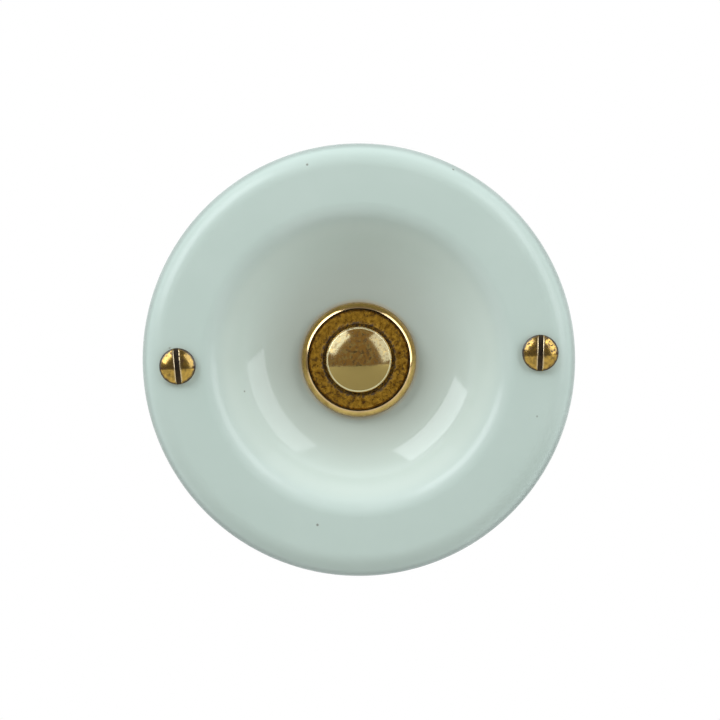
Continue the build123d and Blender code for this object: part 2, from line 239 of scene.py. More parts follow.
def makeFineGrain():
    tree, given, result = newGroup("fineGrain", "ShaderNodeTree", {
        "Base": (0.1, 0.1, 0.1, 1),
        "Fleck": (0.2, 0.2, 0.2, 1),
        "Fleck Share": 0.3,
        "Scale": 1500.0,
        "Stretch": (1, 1, 1),
        "Roughness": 0.4,
    }, {"Color": "Color", "Roughness": "Float", "Height": "Float"})
    place = addNode(tree, "ShaderNodeTexCoord").outputs["Object"]
    inputs = {0: place, 1: given["Stretch"]}
    place = addNode(tree, "ShaderNodeVectorMath", inputs, operation="MULTIPLY").outputs[0]
    grain = addNode(tree, "ShaderNodeTexNoise", {
        "Vector": place, "Scale": given["Scale"], "Detail": 5.0, "Roughness": 0.6,
    }).outputs[0]
    cloud = addNode(tree, "ShaderNodeTexNoise", {
        "Vector": place, "Scale": graining["cloudScale"], "Detail": 2.0,
    }).outputs[0]
    share = mathNode(tree, "MULTIPLY", rampNode(tree, grain, *graining["fleck"]), given["Fleck Share"])
    rough = mathNode(tree, "ADD", given["Roughness"], rampNode(tree, cloud, *graining["cloudRough"]))
    tree.links.new(mixColour(tree, share, given["Base"], given["Fleck"]), result["Color"])
    tree.links.new(rough, result["Roughness"])
    tree.links.new(grain, result["Height"])
    return tree


fineGrain = makeFineGrain()


def makeGrained(name, values, bumpDepth, metallic=0.0):
    material, tree, shader = newMaterial(name)
    shader.inputs["Metallic"].default_value = metallic
    grain = addNode(tree, "ShaderNodeGroup", node_tree=fineGrain)
    for label, value in values.items():
        grain.inputs[label].default_value = value
    tree.links.new(grain.outputs["Color"], shader.inputs["Base Color"])
    tree.links.new(grain.outputs["Roughness"], shader.inputs["Roughness"])
    setBump(tree, shader, grain.outputs["Height"], bumpDepth * mm)
    return material


softRubber = makeGrained("softRubber", {
    "Base": (0.022, 0.022, 0.022, 1), "Fleck": (0.06, 0.06, 0.058, 1), "Fleck Share": 0.4,
    "Scale": 2500, "Roughness": 0.6,
}, 0.01)
redFibre = makeGrained("redFibre", {
    "Base": (0.24, 0.05, 0.03, 1), "Fleck": (0.36, 0.12, 0.08, 1), "Fleck Share": 0.5,
    "Scale": 1800, "Stretch": (1, 6, 1), "Roughness": 0.55,
}, 0.01)
springSteel = makeGrained("springSteel", {
    "Base": (0.45, 0.45, 0.46, 1), "Fleck": (0.3, 0.29, 0.28, 1), "Fleck Share": 0.4,
    "Scale": 1500, "Stretch": (1, 5, 1), "Roughness": 0.26,
}, 0.002, metallic=1.0)
brownMoulding = makeGrained("brownMoulding", {
    "Base": (0.05, 0.02, 0.01, 1), "Fleck": (0.12, 0.05, 0.025, 1), "Fleck Share": 0.6,
    "Scale": 1100, "Roughness": 0.24,
}, 0.004)


# pale grey-green glaze over white clay, bare on the foot
# fades run between two radii in mm from the button's axis; the outer edge's height fade and footLine run
# along Y
glaze = {
    "colour": (0.503, 0.605, 0.553, 1), "thin": (0.57, 0.66, 0.615, 1), "clay": (0.66, 0.64, 0.58, 1),
    "wall": (0.585, 0.67, 0.605, 1), "wallFade": (25, 21.5), "wallCloud": (0.2, 0.8, 0.8, 1.0),
    # seat is painted shade on the glaze round the bezel
    "seat": (0.48, 0.535, 0.475, 1), "seatShadeFade": (20, 11.5),
    # stain next to the bezel is partly grime and partly painted warm shade and reflection of the brass
    "stain": (0.54, 0.51, 0.39, 1), "stainAndShadeFade": (10.4, 9.7),
    # edge is painted shade on the front of the outer edge round
    "edge": (0.33, 0.4, 0.365, 1), "edgeShadeFade": (34.9, 35.7), "edgeShadeHeight": (-9.6, -11.2),
    "lipRise": (22.5, 24), "lipFall": (26, 24.5),
    "lipCloud": (0.3, 0.7, 0.2, 0.6), "thinCloud": (0.35, 0.75, 0.0, 0.25),
    "turnRise": (22.5, 23.5), "turnFall": (27, 25.5), "rimRise": (31.5, 33),
    "pinhole": (0.16, 0.15, 0.12, 1), "pinholeShare": 0.7, "pinholeDepth": 0.6,
    "pinholeSize": (0.05, 0.02), "pinholePick": (0.58, 0.62),
    "gloss": 0.07, "softEdge": 0.18, "clayRough": 0.6, "density": 1.38,
    "footLine": (-0.4, -0.25), "footWaver": 0.2, "swell": 0.03, "ripple": 0.03,
}


def makePorcelain():
    material, tree, shader = newMaterial("porcelainGlaze")
    shader.inputs["IOR"].default_value = glaze["density"]
    place = addNode(tree, "ShaderNodeTexCoord").outputs["Object"]
    axis = addNode(tree, "ShaderNodeSeparateXYZ", {0: place}).outputs
    reach = mathNode(tree, "SQRT", mathNode(tree, "ADD", mathNode(tree, "POWER", axis[0], 2.0),
                                            mathNode(tree, "POWER", axis[2], 2.0)))
    cloud = addNode(tree, "ShaderNodeTexNoise", {"Vector": place, "Scale": 70.0, "Detail": 3.0}).outputs[0]

    def fade(value, key):
        start, end = glaze[key]
        return rampNode(tree, value, start * mm, end * mm)

    deep = mathNode(tree, "MULTIPLY", fade(reach, "wallFade"), rampNode(tree, cloud, *glaze["wallCloud"]))
    lip = mathNode(tree, "MULTIPLY", fade(reach, "lipRise"), fade(reach, "lipFall"))
    lip = mathNode(tree, "MULTIPLY", lip, rampNode(tree, cloud, *glaze["lipCloud"]))
    # the front of the outer edge round is darkened: painted shade
    edge = mathNode(tree, "MULTIPLY", fade(reach, "edgeShadeFade"), fade(axis[1], "edgeShadeHeight"))
    colour = mixColour(tree, deep, glaze["colour"], glaze["wall"])
    # painted shade round the bezel's seat
    colour = mixColour(tree, fade(reach, "seatShadeFade"), colour, glaze["seat"])
    # warm ring by the bezel: partly grime, partly painted shade and brass reflection
    colour = mixColour(tree, fade(reach, "stainAndShadeFade"), colour, glaze["stain"])
    colour = mixColour(tree, edge, colour, glaze["edge"])
    colour = mixColour(tree, lip, colour, glaze["thin"])
    colour = mixColour(tree, rampNode(tree, cloud, *glaze["thinCloud"]), colour, glaze["thin"])
    cells = addNode(tree, "ShaderNodeTexVoronoi", {"Vector": place, "Scale": 170.0, "Randomness": 1.0})
    chosen = addNode(tree, "ShaderNodeSeparateColor", {0: cells.outputs["Color"]}).outputs[0]
    hole = mathNode(tree, "MULTIPLY", rampNode(tree, cells.outputs["Distance"], *glaze["pinholeSize"]),
                    rampNode(tree, chosen, *glaze["pinholePick"]))
    shown = mathNode(tree, "MULTIPLY", hole, glaze["pinholeShare"])
    colour = mixColour(tree, shown, colour, glaze["pinhole"])
    waver = mathNode(tree, "MULTIPLY", cloud, glaze["footWaver"] * mm)
    bare = fade(mathNode(tree, "ADD", axis[1], waver), "footLine")
    colour = mixColour(tree, bare, colour, glaze["clay"])
    tree.links.new(colour, shader.inputs["Base Color"])
    turned = mathNode(tree, "MULTIPLY", fade(reach, "turnRise"), fade(reach, "turnFall"))
    turned = mathNode(tree, "MAXIMUM", turned, fade(reach, "rimRise"))
    rough = mathNode(tree, "ADD", glaze["gloss"], mathNode(tree, "MULTIPLY", turned, glaze["softEdge"]))
    rough = mathNode(tree, "ADD", rough, mathNode(tree, "MULTIPLY", bare, glaze["clayRough"]), clamp=True)
    tree.links.new(rough, shader.inputs["Roughness"])
    swell = addNode(tree, "ShaderNodeTexNoise", {"Vector": place, "Scale": 95.0, "Detail": 1.0}).outputs[0]
    ripple = addNode(tree, "ShaderNodeTexNoise", {"Vector": place, "Scale": 900.0, "Detail": 1.0}).outputs[0]
    height = mathNode(tree, "ADD", swell, mathNode(tree, "MULTIPLY", ripple, glaze["ripple"]))
    height = mathNode(tree, "SUBTRACT", height, mathNode(tree, "MULTIPLY", hole, glaze["pinholeDepth"]))
    setBump(tree, shader, height, glaze["swell"] * mm)
    return material


porcelainGlaze = makePorcelain()
print("materials:", len(bpy.data.materials))


# outlines are lists of (radius, height, rub) in mm, height out from the wall
def roundCorners(corners, steps=6, wear=0.0):
    points = []
    for index, (radius, height, fillet) in enumerate(corners):
        here = Vector((radius, height))
        if fillet == 0:
            points.append((radius, height, 0.0))
            continue
        before = Vector(corners[index - 1][:2]) - here
        after = Vector(corners[(index + 1) % len(corners)][:2]) - here
        before.normalize()
        after.normalize()
        half = before.angle(after) / 2
        centre = here + (before + after).normalized() * fillet / math.sin(half)
        first = here + before * fillet / math.tan(half) - centre
        last = here + after * fillet / math.tan(half) - centre
        sweep = first.angle_signed(last)
        for step in range(steps + 1):
            turn = first.copy()
            turn.rotate(Matrix.Rotation(-sweep * step / steps, 2))
            points.append((centre.x + turn.x, centre.y + turn.y, wear))
    return points


def arcPoints(centre, radius, start, end, steps):
    turns = [start + (end - start) * step / steps for step in range(steps + 1)]
    return [(centre[0] + radius * math.cos(a), centre[1] + radius * math.sin(a), 0.0) for a in turns]


# wear stays near its edge: a clean point follows it along each long side
def keepWearLocal(points, near=0.2):
    kept = []
    for here, after in zip(points, points[1:] + points[:1]):
        kept.append(here)
        length = math.dist(here[:2], after[:2])
        for end, share in ((here, near), (after, length - near)):
            if length > 3 * near and end[2] > 0:
                kept.append(tuple(here[i] + (after[i] - here[i]) * share / length for i in (0, 1)) + (0.0,))
    return kept


# helpers for geometry trees
def gridPlaces(tree, around):
    index = addNode(tree, "GeometryNodeInputIndex").outputs[0]
    return integerNode(tree, "DIVIDE_FLOOR", index, around), integerNode(tree, "MODULO", index, around)


def weldPoints(tree, shape):
    return addNode(tree, "GeometryNodeMergeByDistance", {0: shape, "Distance": weld}).outputs[0]


def shadeByCrease(tree, shape, crease):
    shape = addNode(tree, "GeometryNodeSetShadeSmooth", {0: shape, 2: True}, domain="FACE").outputs[0]
    bend = addNode(tree, "GeometryNodeInputMeshEdgeAngle").outputs[0]
    sharp = addNode(tree, "FunctionNodeCompare", {0: bend, 1: crease}, data_type="FLOAT",
                    operation="GREATER_THAN").outputs[0]
    inputs = {0: shape, 1: sharp, 2: False}
    return addNode(tree, "GeometryNodeSetShadeSmooth", inputs, domain="EDGE").outputs[0]


def pairPoints(tree, spacing):
    start = addNode(tree, "ShaderNodeCombineXYZ", {0: mathNode(tree, "MULTIPLY", spacing, -0.5)}).outputs[0]
    step = addNode(tree, "ShaderNodeCombineXYZ", {0: spacing}).outputs[0]
    inputs = {"Count": 2, "Start Location": start, "Offset": step}
    return addNode(tree, "GeometryNodeMeshLine", inputs).outputs[0]


def endTree(tree, shape, material, piece):
    shape = addNode(tree, "GeometryNodeRealizeInstances", {0: shape}).outputs[0]
    shape = addNode(tree, "GeometryNodeSetMaterial", {0: shape, "Material": material}).outputs[0]
    tree.links.new(shape, piece)
    return tree


# a turned piece: the outline in the mesh is spun round the button's axis
def makeTurning():
    tree, given, result = newGroup("turnedPiece", "GeometryNodeTree", {
        "Outline": "Geometry",
        "Segments": 192,
        "Crease": math.radians(35),
        "Flat Half Width": 1.0,
        "Material": "Material",
    }, {"Piece": "Geometry"})
    counts = addNode(tree, "GeometryNodeAttributeDomainSize", {0: given["Outline"]}, component="MESH").outputs
    around = integerNode(tree, "ADD", given["Segments"], 1)
    grid = addNode(tree, "GeometryNodeMeshGrid", {"Vertices X": counts[0], "Vertices Y": around}).outputs[0]
    row, column = gridPlaces(tree, around)
    place = addNode(tree, "GeometryNodeInputPosition").outputs[0]
    corner = addNode(tree, "GeometryNodeSampleIndex", {0: given["Outline"], 1: place, 2: row},
                     data_type="FLOAT_VECTOR").outputs[0]
    rubbed = addNode(tree, "GeometryNodeInputNamedAttribute", {0: "rub"}, data_type="FLOAT").outputs[0]
    rubbed = addNode(tree, "GeometryNodeSampleIndex", {0: given["Outline"], 1: rubbed, 2: row},
                     data_type="FLOAT").outputs[0]
    angle = mathNode(tree, "MULTIPLY", mathNode(tree, "DIVIDE", column, given["Segments"]), math.tau)
    spun = addNode(tree, "ShaderNodeVectorRotate", {"Vector": corner, "Angle": angle},
                   rotation_type="Y_AXIS").outputs[0]
    parts = addNode(tree, "ShaderNodeSeparateXYZ", {0: spun}).outputs
    low = mathNode(tree, "MULTIPLY", given["Flat Half Width"], -1.0)
    kept = mathNode(tree, "MAXIMUM", mathNode(tree, "MINIMUM", parts[0], given["Flat Half Width"]), low)
    spun = addNode(tree, "ShaderNodeCombineXYZ", {0: kept, 1: parts[1], 2: parts[2]}).outputs[0]
    shape = addNode(tree, "GeometryNodeStoreNamedAttribute", {0: grid, "Name": "rub", "Value": rubbed},
                    data_type="FLOAT", domain="POINT").outputs[0]
    shape = addNode(tree, "GeometryNodeSetPosition", {0: shape, "Position": spun}).outputs[0]
    shape = shadeByCrease(tree, weldPoints(tree, shape), given["Crease"])
    return endTree(tree, shape, given["Material"], result["Piece"])


turnedPiece = makeTurning()


def bakeTree(name, tree, values, mesh=None):
    piece = bpy.data.objects.new(name, mesh or bpy.data.meshes.new(name))
    scene.collection.objects.link(piece)
    shaping = piece.modifiers.new(tree.name, "NODES")
    shaping.node_group = tree
    for item in tree.interface.items_tree:
        if item.in_out == "INPUT" and item.name in values:
            shaping[item.identifier] = values[item.name]
    depsgraph = bpy.context.evaluated_depsgraph_get()
    made = bpy.data.meshes.new_from_object(piece.evaluated_get(depsgraph), preserve_all_data_layers=True,
                                           depsgraph=depsgraph)
    piece.modifiers.clear()
    piece.data = made
    made.name = name
    return piece


def turnPiece(name, outline, material, segments=192, flat=1.0):
    outline = keepWearLocal(outline)
    area = sum(a[0] * b[1] - b[0] * a[1] for a, b in zip(outline, outline[1:] + outline[:1]))
    ordered = outline if area < 0 else outline[::-1]
    ordered = ordered + ordered[:1]
    mesh = bpy.data.meshes.new(name)
    corners = [(radius * mm, -height * mm, 0) for radius, height, rub in ordered]
    mesh.from_pydata(corners, [(i, i + 1) for i in range(len(corners) - 1)], [])
    rub = mesh.attributes.new("rub", "FLOAT", "POINT")
    rub.data.foreach_set("value", [point[2] for point in ordered])
    values = {"Segments": segments, "Flat Half Width": flat, "Material": material}
    return bakeTree(name, turnedPiece, values, mesh)


def finishPiece(piece, body, slot, *replaced):
    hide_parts(*replaced)
    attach(piece, body)
    print("piece:", piece.name, len(piece.data.polygons), "faces")


# porcelain plate
plate = {
    "radius": 36.0, "height": 14.0, "edge": 4.0, "mouth": 26.3, "wall": 4.5, "foot": 0.8,
    "lip": 4.3, "bowlTurn": math.radians(44), "bowlDepth": 8.7, "seat": 9.5,
    "hole": 8.65, "floor": 5.0, "pad": 13.51, "ceilingFillet": 2.5, "padFillet": 0.8, "mouthBreak": 0.25,
    "backFillet": 0.5, "screwSpacing": 60.0, "screwHole": 1.8, "holeFlare": 0.35, "toolReach": 1.0,
    "boss": 4.2, "bossFlare": 1.2, "bossFoot": 0.02, "bossRoot": 1.5,
}


# a cone between two arcs, the lip above it and the wide blend on the seat
def plateOutline(size):
    top, turn = size["height"], size["bowlTurn"]
    seatHeight = top - size["bowlDepth"]
    padHeight = seatHeight - size["floor"]
    ceiling = top - size["wall"]
    skirt = size["radius"] - size["wall"]
    reach = (size["mouth"] - size["seat"]) * math.sin(turn) - size["bowlDepth"] * math.cos(turn)
    blend = reach / (1 - math.cos(turn)) - size["lip"]
    blendCentre = (size["seat"], seatHeight + blend)
    lipCentre = (size["mouth"], top - size["lip"])
    down = math.pi / -2
    back = blend + size["wall"]
    padTurn = math.asin((size["pad"] - size["seat"]) / back)
    underside = arcPoints(blendCentre, back, down + turn, down + padTurn, 30)
    backTop = underside[0][0] + (ceiling - underside[0][1]) / math.tan(turn)
    front = arcPoints(blendCentre, blend, down, down + turn, 40)
    front += arcPoints(lipCentre, size["lip"], turn - down, -down, 20)
    outside = roundCorners([
        (size["mouth"], top, 0), (size["radius"], top, size["edge"]), (size["radius"], 0, size["foot"]),
        (skirt, 0, size["foot"]), (skirt, ceiling, size["ceilingFillet"]),
        (backTop, ceiling, size["backFillet"]), underside[0],
    ], 18)[1:-1]
    inside = roundCorners([
        underside[-1], (size["pad"], padHeight, size["padFillet"]),
        (size["hole"], padHeight, size["mouthBreak"]), (size["hole"], seatHeight, size["mouthBreak"]),
        (size["seat"], seatHeight, 0),
    ])[1:-1]
    return outside + underside + inside + front


def makePlateHoles():
    tree, given, result = newGroup("plateHoles", "GeometryNodeTree", {
        "Plate": "Geometry",
        "Boss": "Object",
        "Hole": "Object",
        "Spacing": 0.06,
        "Crease": math.radians(32),
        "Material": "Material",
    }, {"Piece": "Geometry"})
    points = pairPoints(tree, given["Spacing"])
    shape = given["Plate"]
    for tool, operation in (("Boss", "UNION"), ("Hole", "DIFFERENCE")):
        model = addNode(tree, "GeometryNodeObjectInfo", {0: given[tool]}).outputs["Geometry"]
        pair = addNode(tree, "GeometryNodeInstanceOnPoints", {"Points": points, "Instance": model}).outputs[0]
        pair = addNode(tree, "GeometryNodeRealizeInstances", {0: pair}).outputs[0]
        cut = addNode(tree, "GeometryNodeMeshBoolean", operation=operation, solver="EXACT")
        tree.links.new(shape, cut.inputs["Mesh 1" if operation == "DIFFERENCE" else "Mesh 2"])
        tree.links.new(pair, cut.inputs["Mesh 2"])
        shape = cut.outputs[0]
    shape = shadeByCrease(tree, weldPoints(tree, shape), given["Crease"])
    return endTree(tree, shape, given["Material"], result["Piece"])


def makePlate(size):
    dish = turnPiece("dish", plateOutline(size), porcelainGlaze, 256)
    ceiling, root = size["height"] - size["wall"], size["bossRoot"]
    boss = roundCorners([
        (0, ceiling + root, 0), (0, size["bossFoot"], 0), (size["boss"], size["bossFoot"], size["foot"]),
        (size["boss"], ceiling, size["bossFlare"]), (size["boss"] + root, ceiling, 0),
        (size["boss"] + root, ceiling + root, 0),
    ], 8)
    narrow, flare, top, past = size["screwHole"], size["holeFlare"], size["height"], size["toolReach"]
    wide = narrow + 2 * past
    hole = roundCorners([
        (0, top + past, 0), (0, -past, 0), (wide, -past, 0), (wide, 0, 0), (narrow, 0, flare),
        (narrow, top, flare), (wide, top, 0), (wide, top + past, 0),
    ])
    tools = [turnPiece("bossTool", boss, porcelainGlaze, 64), turnPiece("holeTool", hole, porcelainGlaze, 48)]
    piece = bakeTree("porcelainPlate", makePlateHoles(), {
        "Boss": tools[0], "Hole": tools[1], "Spacing": size["screwSpacing"] * mm, "Material": porcelainGlaze,
    }, dish.data)
    for spent in [dish] + tools:
        bpy.data.objects.remove(spent)
    return piece


finishPiece(makePlate(plate), "housing", "porcelain", "porcelain_plate")


# bezel ring, bush and button; crust points are (radius, depth below the face, rub), stain (reach, rub)
bezel = {
    "radius": 9.65, "bore": 8.6, "bottom": 5.6, "top": 7.4, "round": 1.7, "boreDrop": 0.03, "break": 0.1,
    "outerShade": 2.4, "outerShadeFrom": 9.25, "shine": 1.1, "shineFrom": 8.95,
}
bush = {
    "button": 5.85, "mouth": 0.2, "thread": 0.35, "face": 7.05, "stop": 4.05, "barrel": 8.45, "bore": 6.6,
    "flange": 13.015, "flangeFront": -0.5, "flangeBack": -2.5, "cup": 11.815, "rear": -13.0,
    "seatBore": 10.215, "seat": -9.5, "chamber": 9.415, "flat": 12.015, "break": 0.15,
    "frontRound": 0.1, "cupRound": 0.2, "rearRound": 0.3, "threadStain": 0.3,
    "crust": [(5.85, 1.1, -1.0), (5.58, 0.8, -1.0), (5.58, 0.4, -0.8), (5.81, 0.3, -0.7)],
    "stain": [(0.0, -0.9), (0.2, -0.7), (0.45, -0.3), (0.75, 0.0)],
}
button = {
    "radius": 5.5, "domeRadius": 9.6, "domeBase": 9.15, "edge": 0.8, "line": 7.2, "lineFade": 0.3,
    "collar": 6.45, "collarTop": 4.03, "collarBottom": 2.53, "collarRound": 0.1,
    "stem": 2.0, "shoulder": -2.2, "pin": 1.25, "pinEnd": -11.0, "break": 0.3,
    "groove": 1.0, "grooveTop": -4.1, "grooveBottom": -4.62,
}


def dirty(points):
    return [(radius, height, -1.0) for radius, height, rub in points]


# the round runs from the side up to the bore, with no flat on top
def makeBezel(size):
    middle = size["radius"] - size["round"]
    turn = math.acos((size["bore"] - middle) / size["round"])
    shoulder = size["top"] - size["round"] * math.sin(turn)
    crown = arcPoints((middle, shoulder), size["round"], 0, turn, 16)
    # the crown darkens towards its outer edge, and the foot's outer edge too: painted shade where the ring
    # meets the porcelain, in the dirt colour
    crown = [(x, y, min(0.0, size["outerShadeFrom"] - x) * size["outerShade"]
              + max(0.0, size["shineFrom"] - x) * size["shine"]) for x, y, rub in crown]
    foot = dirty([(size["bore"], size["top"] - size["boreDrop"], 0), (size["bore"], size["bottom"], 0)])
    foot += [(size["radius"] - size["break"], size["bottom"], -1.0)]
    foot += [(size["radius"], size["bottom"] + size["break"], -0.6)]
    return turnPiece("bezelRing", crown + foot, bezelBrass, 256)


def makeBush(size):
    small, face, barrel = size["break"], size["face"], size["barrel"]
    hole, mouth, thread = size["button"], size["mouth"], size["thread"]
    front = dirty([(hole, size["stop"], 0)])
    front += [(radius, face - depth, rub) for radius, depth, rub in size["crust"]]
    front += [(hole + mouth + reach, face, rub) for reach, rub in size["stain"]]
    front += [(barrel - thread - size["threadStain"], face, 0.0), (barrel - thread, face, -0.3)]
    front += dirty([(barrel, face - thread, 0)])
    back = roundCorners([
        (barrel, face - thread, 0), (barrel, size["flangeFront"], size["frontRound"]),
        (size["flange"], size["flangeFront"], small), (size["flange"], size["flangeBack"], small),
        (size["cup"], size["flangeBack"], size["cupRound"]), (size["cup"], size["rear"], size["rearRound"]),
        (size["seatBore"], size["rear"], small),
        (size["seatBore"], size["seat"], 0), (size["chamber"], size["seat"], 0),
        (size["chamber"], size["flangeBack"], 0), (size["bore"], size["flangeBack"], 0),
        (size["bore"], size["stop"], 0), (hole, size["stop"], 0),
    ], 5, 0.6)[1:-1]
    return turnPiece("threadedBush", front + back, faceBrass, 256, size["flat"] * mm)


def makeButton(size):
    ball, edge = size["domeRadius"], size["edge"]
    low = size["domeBase"] - math.sqrt(ball ** 2 - size["radius"] ** 2)
    edgeX = size["radius"] - edge
    edgeY = low + math.sqrt((ball - edge) ** 2 - edgeX ** 2)
    turn = math.atan2(edgeY - low, edgeX)
    dome = arcPoints((0, low), ball, math.pi / 2, turn, 28)
    # the edge round is set fully worn, a paler bright ring: partly worn brass and partly a painted highlight
    dome += [(x, y, 1.0) for x, y, rub in arcPoints((edgeX, edgeY), edge, turn, 0, 10)[1:]]
    collar, stem, pin, groove = size["collar"], size["stem"], size["pin"], size["groove"]
    side = [(size["radius"], size["line"] + size["lineFade"], 0.0)]
    side += dirty([(size["radius"], size["line"], 0), (size["radius"], size["collarTop"], 0),
                   (collar, size["collarTop"], 0)])
    back = roundCorners([
        (collar, size["collarTop"], 0), (collar, size["collarBottom"], size["collarRound"]),
        (stem, size["collarBottom"], 0), (stem, size["shoulder"], 0),
        (pin, size["shoulder"], 0), (pin, size["grooveTop"], 0), (groove, size["grooveTop"], 0),
        (groove, size["grooveBottom"], 0), (pin, size["grooveBottom"], 0),
        (pin, size["pinEnd"], size["break"]), (0, size["pinEnd"], 0),
    ], 6, 0.6)[1:]
    return turnPiece("pushButton", dome + side + back, domeBrass)


finishPiece(makeBezel(bezel), "housing", "bezel_brass", "bezel_ring")
finishPiece(makeBush(bush), "housing", "bush_brass", "threaded_bush")
finishPiece(makeButton(button), "button", "button_brass", "push_button")


# a helical thread along Y
def makeThreading():
    tree, given, result = newGroup("screwThread", "GeometryNodeTree", {
        "Radius": 0.0015,
        "Depth": 0.0002,
        "Pitch": 0.0005,
        "Start": 0.0,
        "End": 0.011,
        "Rows": 180,
        "Segments": 40,
        "Material": "Material",
    }, {"Piece": "Geometry"})
    around = integerNode(tree, "ADD", given["Segments"], 1)
    rows = integerNode(tree, "ADD", given["Rows"], 3)
    grid = addNode(tree, "GeometryNodeMeshGrid", {"Vertices X": rows, "Vertices Y": around}).outputs[0]
    row, column = gridPlaces(tree, around)
    along = mathNode(tree, "DIVIDE", mathNode(tree, "SUBTRACT", row, 1.0), given["Rows"], clamp=True)
    length = mathNode(tree, "SUBTRACT", given["End"], given["Start"])
    y = mathNode(tree, "ADD", given["Start"], mathNode(tree, "MULTIPLY", along, length))
    turn = mathNode(tree, "DIVIDE", column, given["Segments"])
    phase = mathNode(tree, "FRACT", mathNode(tree, "ADD", mathNode(tree, "DIVIDE", y, given["Pitch"]), turn))
    ridge = mathNode(tree, "ABSOLUTE", mathNode(tree, "SUBTRACT", phase, 0.5))
    crest, root = 0.05, 0.42  # shares of the pitch from the middle of the ridge
    ridge = rampNode(tree, ridge, crest, root, soft=False)
    toEnd = mathNode(tree, "DIVIDE", mathNode(tree, "SUBTRACT", given["End"], y), given["Pitch"], clamp=True)
    valley = mathNode(tree, "MAXIMUM", ridge, mathNode(tree, "SUBTRACT", 1.0, toEnd))
    radius = mathNode(tree, "SUBTRACT", given["Radius"], mathNode(tree, "MULTIPLY", valley, given["Depth"]))
    last = mathNode(tree, "ADD", given["Rows"], 1.5)  # the first and last rows close to a point
    radius = mathNode(tree, "MULTIPLY", radius, mathNode(tree, "GREATER_THAN", row, 0.5))
    radius = mathNode(tree, "MULTIPLY", radius, mathNode(tree, "LESS_THAN", row, last))
    angle = mathNode(tree, "MULTIPLY", turn, math.tau)
    x = mathNode(tree, "MULTIPLY", radius, mathNode(tree, "COSINE", angle))
    z = mathNode(tree, "MULTIPLY", radius, mathNode(tree, "SINE", angle))
    place = addNode(tree, "ShaderNodeCombineXYZ", {0: x, 1: y, 2: z}).outputs[0]
    shape = addNode(tree, "GeometryNodeSetPosition", {0: grid, "Position": place}).outputs[0]
    return endTree(tree, weldPoints(tree, shape), given["Material"], result["Piece"])


# the same piece set twice, either side of the middle
def makePair():
    tree, given, result = newGroup("pairAcross", "GeometryNodeTree", {
        "Part": "Geometry",
        "Spacing": 0.06,
        "Left Turn": 0.0,
        "Right Turn": 0.0,
        "Material": "Material",
    }, {"Piece": "Geometry"})
    points = pairPoints(tree, given["Spacing"])
    index = addNode(tree, "GeometryNodeInputIndex").outputs[0]
    difference = mathNode(tree, "SUBTRACT", given["Right Turn"], given["Left Turn"])
    turn = mathNode(tree, "ADD", given["Left Turn"], mathNode(tree, "MULTIPLY", index, difference))
    turn = addNode(tree, "ShaderNodeCombineXYZ", {1: turn}).outputs[0]
    inputs = {"Points": points, "Instance": given["Part"], "Rotation": turn}
    pair = addNode(tree, "GeometryNodeInstanceOnPoints", inputs).outputs[0]
    return endTree(tree, pair, given["Material"], result["Piece"])


screwThread = makeThreading()
pairAcross = makePair()


# slotted head facing -Y: columns of points run along the slot, so its edges fall on mesh lines
def slottedHead(size):
    radius, half, soft, ball = size["radius"], size["slotWidth"] / 2, size["slotEdge"], size["crown"]
    slotFloor = size["height"] - size["slotDepth"]
    limit = math.acos((half + soft) / radius)
    sideSteps, rowSteps = 18, 28
    rimShadeStart, rimShadeWidth = 0.86, 0.1
    edgeAcross, edgeDrop = 0.4, 0.35
    columns = [(-radius * math.cos(limit * step / sideSteps), 0.0, 0.0) for step in range(sideSteps)]
    columns += [(-half - soft, 0.0, 0.3), (-half - edgeAcross * soft, edgeDrop * soft, 0.9)]
    columns += [(-half, soft, 0.9), (-half, 0.0, -1.0), (-half / 3, 0.0, -1.0)]
    columns += [(-x, drop, wear) for x, drop, wear in columns[::-1]]
    shape = bmesh.new()
    rub = shape.verts.layers.float.new("rub")
    grid = []
    for x, drop, wear in columns:
        reach = math.sqrt(max(0.0, radius ** 2 - x ** 2))
        line = []
        for row in range(rowSteps + 1):
            across = reach * math.sin(math.pi / 2 * (2 * row / rowSteps - 1))
            height = size["height"] - ball + math.sqrt(ball ** 2 - min(x * x + across * across, radius ** 2))
            floorHere = min(height, slotFloor)
            height = floorHere if wear < 0 else max(height - drop, floorHere)
            line.append(shape.verts.new((x, -height, across)))
            # towards its outer rim the head darkens: painted shade where the head meets the plate, in the
            # dirt colour
            rimShade = max(0.0, math.hypot(x, across) / radius - rimShadeStart) / rimShadeWidth
            line[-1][rub] = max(-1.0, wear - rimShade)
        grid.append(line)
    for left, right in zip(grid, grid[1:]):
        for row in range(rowSteps):
            shape.faces.new((left[row], left[row + 1], right[row + 1], right[row]))
    edge = [line[-1] for line in grid] + [line[0] for line in grid[::-1]]
    rings = [edge]
    for ringRadius, height in size["body"]:
        scale = ringRadius / radius
        rings.append([shape.verts.new((v.co.x * scale, -height, v.co.z * scale)) for v in edge])
    for upper, lower in zip(rings, rings[1:]):
        for i in range(len(edge)):
            j = (i + 1) % len(edge)
            shape.faces.new((upper[i], upper[j], lower[j], lower[i]))
    bmesh.ops.remove_doubles(shape, verts=shape.verts, dist=1e-5)
    bmesh.ops.dissolve_degenerate(shape, edges=shape.edges, dist=1e-6)
    bmesh.ops.recalc_face_normals(shape, faces=shape.faces)
    turn = Matrix.Rotation(0 if size["facing"] < 0 else math.pi, 4, "Z")
    shape.transform(turn @ Matrix.Scale(mm, 4))
    bmesh.ops.translate(shape, verts=shape.verts, vec=(0, size["seat"] * mm, 0))
    return shape


def meshFrom(shape, name):
    crease = math.radians(38)
    mesh = bpy.data.meshes.new(name)
    shape.to_mesh(mesh)
    shape.free()
    mesh.shade_smooth()
    mesh.set_sharp_from_angle(angle=crease)
    return mesh


